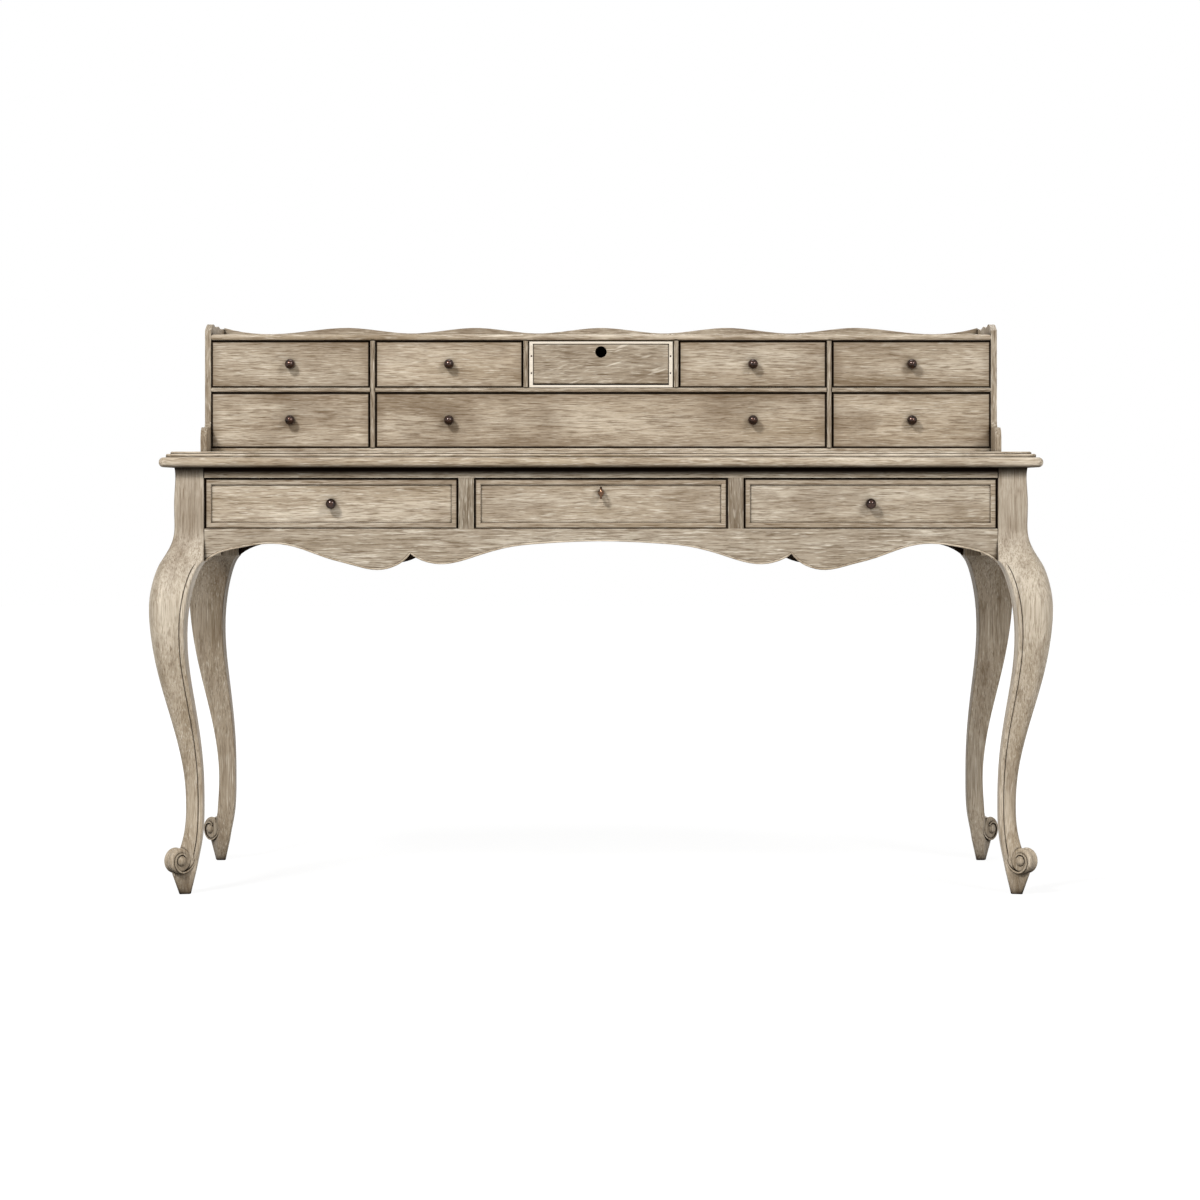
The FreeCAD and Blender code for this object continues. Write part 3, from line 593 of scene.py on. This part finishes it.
oak_bead = limed_oak("oak_bead", "x", (0.15, 0.45, 0.75), tone=1.05)
print(oak_bead.name, "nodes:", len(oak_bead.node_tree.nodes))

# %% [markdown]
# The rail under the top, the tops of the posts, the edge under the top, the upper part of the rear legs and
# the inner face of the rear apron fade to the dark: this is painted shade, where the top and the frame keep
# the lamps off. The front legs also grow darker towards their feet. The knees fade to the pale, partly as wear
# where every passer-by has rubbed them and partly as a painted highlight where they face the light from above.
# Each fade takes its place from the board's own box, as a way inwards from one of its sides.

# %% Fades of the boards
# Sides of a box: axis, its number, the low (0) or high (1) corner, the direction inwards.
SIDES = {"top": ("Z", 2, 1, -1), "bottom": ("Z", 2, 0, 1), "rear": ("Y", 1, 1, -1)}
rail_low, rail_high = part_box("front_top_rail")
RAIL_HEIGHT = rail_high[2] - rail_low[2]
# Dark fades, painted shade except at the feet of the front legs: side, way inwards to where it is full, way
# inwards to where there is nothing, strength, colour.
# Painted shade under the top and inside the frame. The third row of the front legs only darkens them towards
# the bottom.
SHADE_FADES = {
    "front_top_rail": (("top", 0.0, RAIL_HEIGHT, 0.8, GRIME_AND_SHADE), ("top", 0.006, 0.013, 1.0, GRIME_AND_SHADE)),
    "leg_front_": (("top", 0.1, 0.2, 0.42, GLAZE_AND_SHADE), ("top", 0.003, 0.016, 0.85, GRIME_AND_SHADE),
                   ("bottom", 0.0, 0.035, 0.35, GLAZE_AND_SHADE)),
    "leg_rear_": (("top", 0.13, 0.36, 0.5, GRIME_AND_SHADE),),
    "table_top": (("bottom", 0.0005, 0.005, 0.75, GRIME_AND_SHADE),),
    "rear_apron": (("rear", 0.006, 0.001, 0.97, GRIME_AND_SHADE),),
}
KNEE_BELOW_TOP = 0.13
KNEE_TO_SHIN = 0.3
KNEE_WEAR_AND_HIGHLIGHT = 0.36


def shade_fades_of(name):
    """Fades of one board to a darker colour, mostly painted shade, as (axis, full, none, strength, colour)."""
    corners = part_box(name)
    fades = []
    for start, rows in SHADE_FADES.items():
        if name.startswith(start):
            for side, full, none, strength, colour in rows:
                axis, number, corner, inwards = SIDES[side]
                edge = corners[corner][number]
                fades.append((axis, edge + inwards * full, edge + inwards * none, strength, colour))
    return fades


def wear_and_highlight_of(name):
    """The fade of a front leg to the pale, from its knee down to its shin: partly wear, partly a painted
    highlight where the knee faces the light.
    """
    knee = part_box(name)[1][2] - KNEE_BELOW_TOP
    return ("Z", knee, knee - KNEE_TO_SHIN, KNEE_WEAR_AND_HIGHLIGHT) if name.startswith("leg_front_") else None


print("boards with dark fades:", len([name for name in nodes if shade_fades_of(name)]))

# %% [markdown]
# Each board now gets its finish, with the grain as a joiner would cut it: rails, aprons, shelves and drawer
# fronts across the desk, legs, stiles, partitions and end panels upright, side aprons from front to back.
# Every board takes its own shift and tone, because no two come from the same plank; the darker tone of the
# rear legs is painted shade, as they stand back under the top. The grain of the legs is longer and quieter
# than that of the boards, and their glaze lies in smaller patches.

# %% Finish on the joinery
# Boards, by how their names start: with upright grain, with grain from front to back, with a dark border of
# glaze and painted gap shade, and with sides that lie inside the frame, which get a wide painted shade.
UPRIGHT = ("leg_", "drawer_stiles", "gradin_side_", "gradin_partitions")
FRONT_TO_BACK = ("side_apron_",)
BORDERED = ("gradin_drawer_front_", "apron_drawer_moulding_")
INNER = ("front_top_rail", "leg_", "rear_apron", "drawer_stiles")
PLANK_SHIFT = (0.37, 0.61, 0.23)
PLANK_TONES = (0.97, 0.94, 0.99, 0.955)
# Tones of single boards; the lower tone of the rear legs is painted shade, as they stand back in the shadow of
# the top.
BOARD_TONES_AND_SHADE = {
    "table_top": 1.0, "front_apron": 0.89, "drawer_stiles": 0.8,
    "leg_front_left": 0.98, "leg_front_right": 1.0, "leg_rear_left": 0.92, "leg_rear_right": 0.92,
    "gradin_side_left": 0.88, "gradin_side_right": 0.88, "gradin_partitions": 0.86, "gradin_shelves": 0.88,
    "gallery_rail": 0.88, "flap_panel": 0.88,
}
BOARD_FIGURES = {"flap_panel": 0.48}
LEG_GRAIN = {"length": 2.2, "contrast": 0.75, "patch": 36.0}
slots = {entry["node"]: entry["material_slot"] for entry in frame["record"]["subparts"]}
plain_finishes = {"drawer_lining": lining, "flap_lipping": lipping,
                  "knob_bronze": bronze, "key_brass": brass, "lock_steel": steel}


def grain_of(name):
    """The axis of a board's grain."""
    if name.startswith(UPRIGHT):
        return "z"
    return "y" if name.startswith(FRONT_TO_BACK) else "x"


def oak_of(name, number):
    """The oak of one board, from its own plank."""
    return limed_oak(
        "oak_" + name, grain_of(name), [step * number for step in PLANK_SHIFT],
        tone=BOARD_TONES_AND_SHADE.get(name, PLANK_TONES[number % len(PLANK_TONES)]),
        figure=BOARD_FIGURES.get(name, 0.0),
        border=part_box(name) if name.startswith(BORDERED) else None,
        shade_fades=shade_fades_of(name), worn=wear_and_highlight_of(name), deep=name.startswith(INNER),
        **(LEG_GRAIN if name.startswith("leg_") else {}))


def dress(piece, material):
    """One finish all over a piece."""
    piece.data.materials.clear()
    piece.data.materials.append(material)


for number, name in enumerate(sorted(nodes)):
    dress(nodes[name], oak_of(name, number) if slots[name] == "oak" else plain_finishes[slots[name]])
print("oak boards:", list(slots.values()).count("oak"), "finishes:", len(bpy.data.materials))

# %% [markdown]
# A fine bead runs along the lower edge of the front and side aprons and catches the light there. It follows
# every turn of the scallop, so its path is taken from the board itself: a copy of the board is merged, its
# lower outer edge is found by the two faces that meet there, that edge alone is kept, and a round section
# is swept along it.

# %% Beads on the aprons
BEAD_RADIUS = 0.0017
BEAD_ROUNDING = 2
MERGE_DISTANCE = 0.00001
FLUSH = 0.99
DOWNWARD = -0.05
SMOOTH_ANGLE = math.radians(50)
BEADED = {"front_apron": (0, -1, 0), "side_apron_left": (-1, 0, 0), "side_apron_right": (1, 0, 0)}


def keep_lower_edge(bead, outward):
    """In edit mode: leave only the edge between the outer face of a board and its underside."""
    bpy.ops.mesh.select_mode(type="EDGE")
    bpy.ops.mesh.select_all(action="SELECT")
    bpy.ops.mesh.remove_doubles(threshold=MERGE_DISTANCE)
    bpy.ops.mesh.select_all(action="DESELECT")
    mesh = bmesh.from_edit_mesh(bead.data)
    for edge in mesh.edges:
        normals = [face.normal for face in edge.link_faces]
        on_outer_face = [normal.dot(outward) > FLUSH for normal in normals]
        if len(normals) == 2 and on_outer_face[0] != on_outer_face[1]:
            other = normals[on_outer_face.index(False)]
            edge.select_set(other.z < DOWNWARD)
    bmesh.update_edit_mesh(bead.data)
    bpy.ops.mesh.duplicate()
    bpy.ops.mesh.select_all(action="INVERT")
    bpy.ops.mesh.delete(type="VERT")


def apron_bead(apron, outward):
    """A round bead along the lower outer edge of an apron."""
    bpy.ops.object.select_all(action="DESELECT")
    bead = bpy.data.objects.new(apron + "_bead", nodes[apron].data.copy())
    bpy.context.collection.objects.link(bead)
    bead.select_set(True)
    bpy.context.view_layer.objects.active = bead
    bpy.ops.object.mode_set(mode="EDIT")
    keep_lower_edge(bead, Vector(outward))
    bpy.ops.object.mode_set(mode="OBJECT")
    bpy.ops.object.convert(target="CURVE")
    bead = bpy.context.object
    bead.data.bevel_depth = BEAD_RADIUS
    bead.data.bevel_resolution = BEAD_ROUNDING
    bead.data.use_fill_caps = True
    bpy.ops.object.convert(target="MESH")
    bead = bpy.context.object
    bpy.ops.object.shade_smooth_by_angle(angle=SMOOTH_ANGLE)
    dress(bead, oak_bead)
    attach(bead, "desk")
    return bead


for apron, outward in BEADED.items():
    bead = apron_bead(apron, outward)
    print(bead.name, "faces:", len(bead.data.polygons))

# %% [markdown]
# The pale frame around the flap is held by two small pins in each side. A pin's head is a short round bar
# whose front rim is bevelled to a low dome; it is modelled once, copied to its four places and joined.

# %% Pins of the flap frame
PIN_RADIUS = 0.0017
PIN_LENGTH = 0.004
PIN_RISE = 0.0007
PIN_SIDES = 20
PIN_HEIGHTS = (0.9099, 0.941)
DOME_STEPS = 3
DOME_FACING = -0.9


def pin_head():
    """A round bar along the depth of the desk, whose domed front stands PIN_RISE before the origin."""
    bpy.ops.object.select_all(action="DESELECT")
    bpy.ops.mesh.primitive_cylinder_add(
        vertices=PIN_SIDES, radius=PIN_RADIUS, depth=PIN_LENGTH,
        rotation=(math.pi / 2, 0, 0), location=(0, PIN_LENGTH / 2 - PIN_RISE, 0))
    pin = bpy.context.object
    bpy.ops.object.transform_apply(location=True, rotation=True, scale=True)
    bpy.ops.object.mode_set(mode="EDIT")
    bpy.ops.mesh.select_mode(type="FACE")
    bpy.ops.mesh.select_all(action="DESELECT")
    mesh = bmesh.from_edit_mesh(pin.data)
    for face in mesh.faces:
        face.select_set(face.normal.y < DOME_FACING)
    bmesh.update_edit_mesh(pin.data)
    bpy.ops.mesh.bevel(offset=PIN_RISE, segments=DOME_STEPS)
    bpy.ops.object.mode_set(mode="OBJECT")
    bpy.ops.object.shade_smooth_by_angle(angle=SMOOTH_ANGLE)
    return pin


def copied_to(pattern, place):
    """A copy of a piece with its own mesh, which holds its new place."""
    bpy.ops.object.select_all(action="DESELECT")
    pattern.select_set(True)
    bpy.context.view_layer.objects.active = pattern
    bpy.ops.object.duplicate()
    copy = bpy.context.object
    copy.location = place
    bpy.ops.object.transform_apply(location=True, rotation=False, scale=False)
    return copy


frame_low, frame_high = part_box("flap_frame")
flap_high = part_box("flap_panel")[1]
pin_x = (frame_high[0] + flap_high[0]) / 2
places = [(side * pin_x, frame_low[1], height) for side in (-1, 1) for height in PIN_HEIGHTS]
pattern = pin_head()
copies = [copied_to(pattern, place) for place in places]
bpy.data.meshes.remove(pattern.data)
bpy.ops.object.select_all(action="DESELECT")
for pin in copies:
    pin.select_set(True)
bpy.context.view_layer.objects.active = copies[0]
bpy.ops.object.join()
pins = bpy.context.object
pins.name = "flap_frame_pins"
dress(pins, bronze)
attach(pins, "desk")
print(pins.name, "faces:", len(pins.data.polygons))
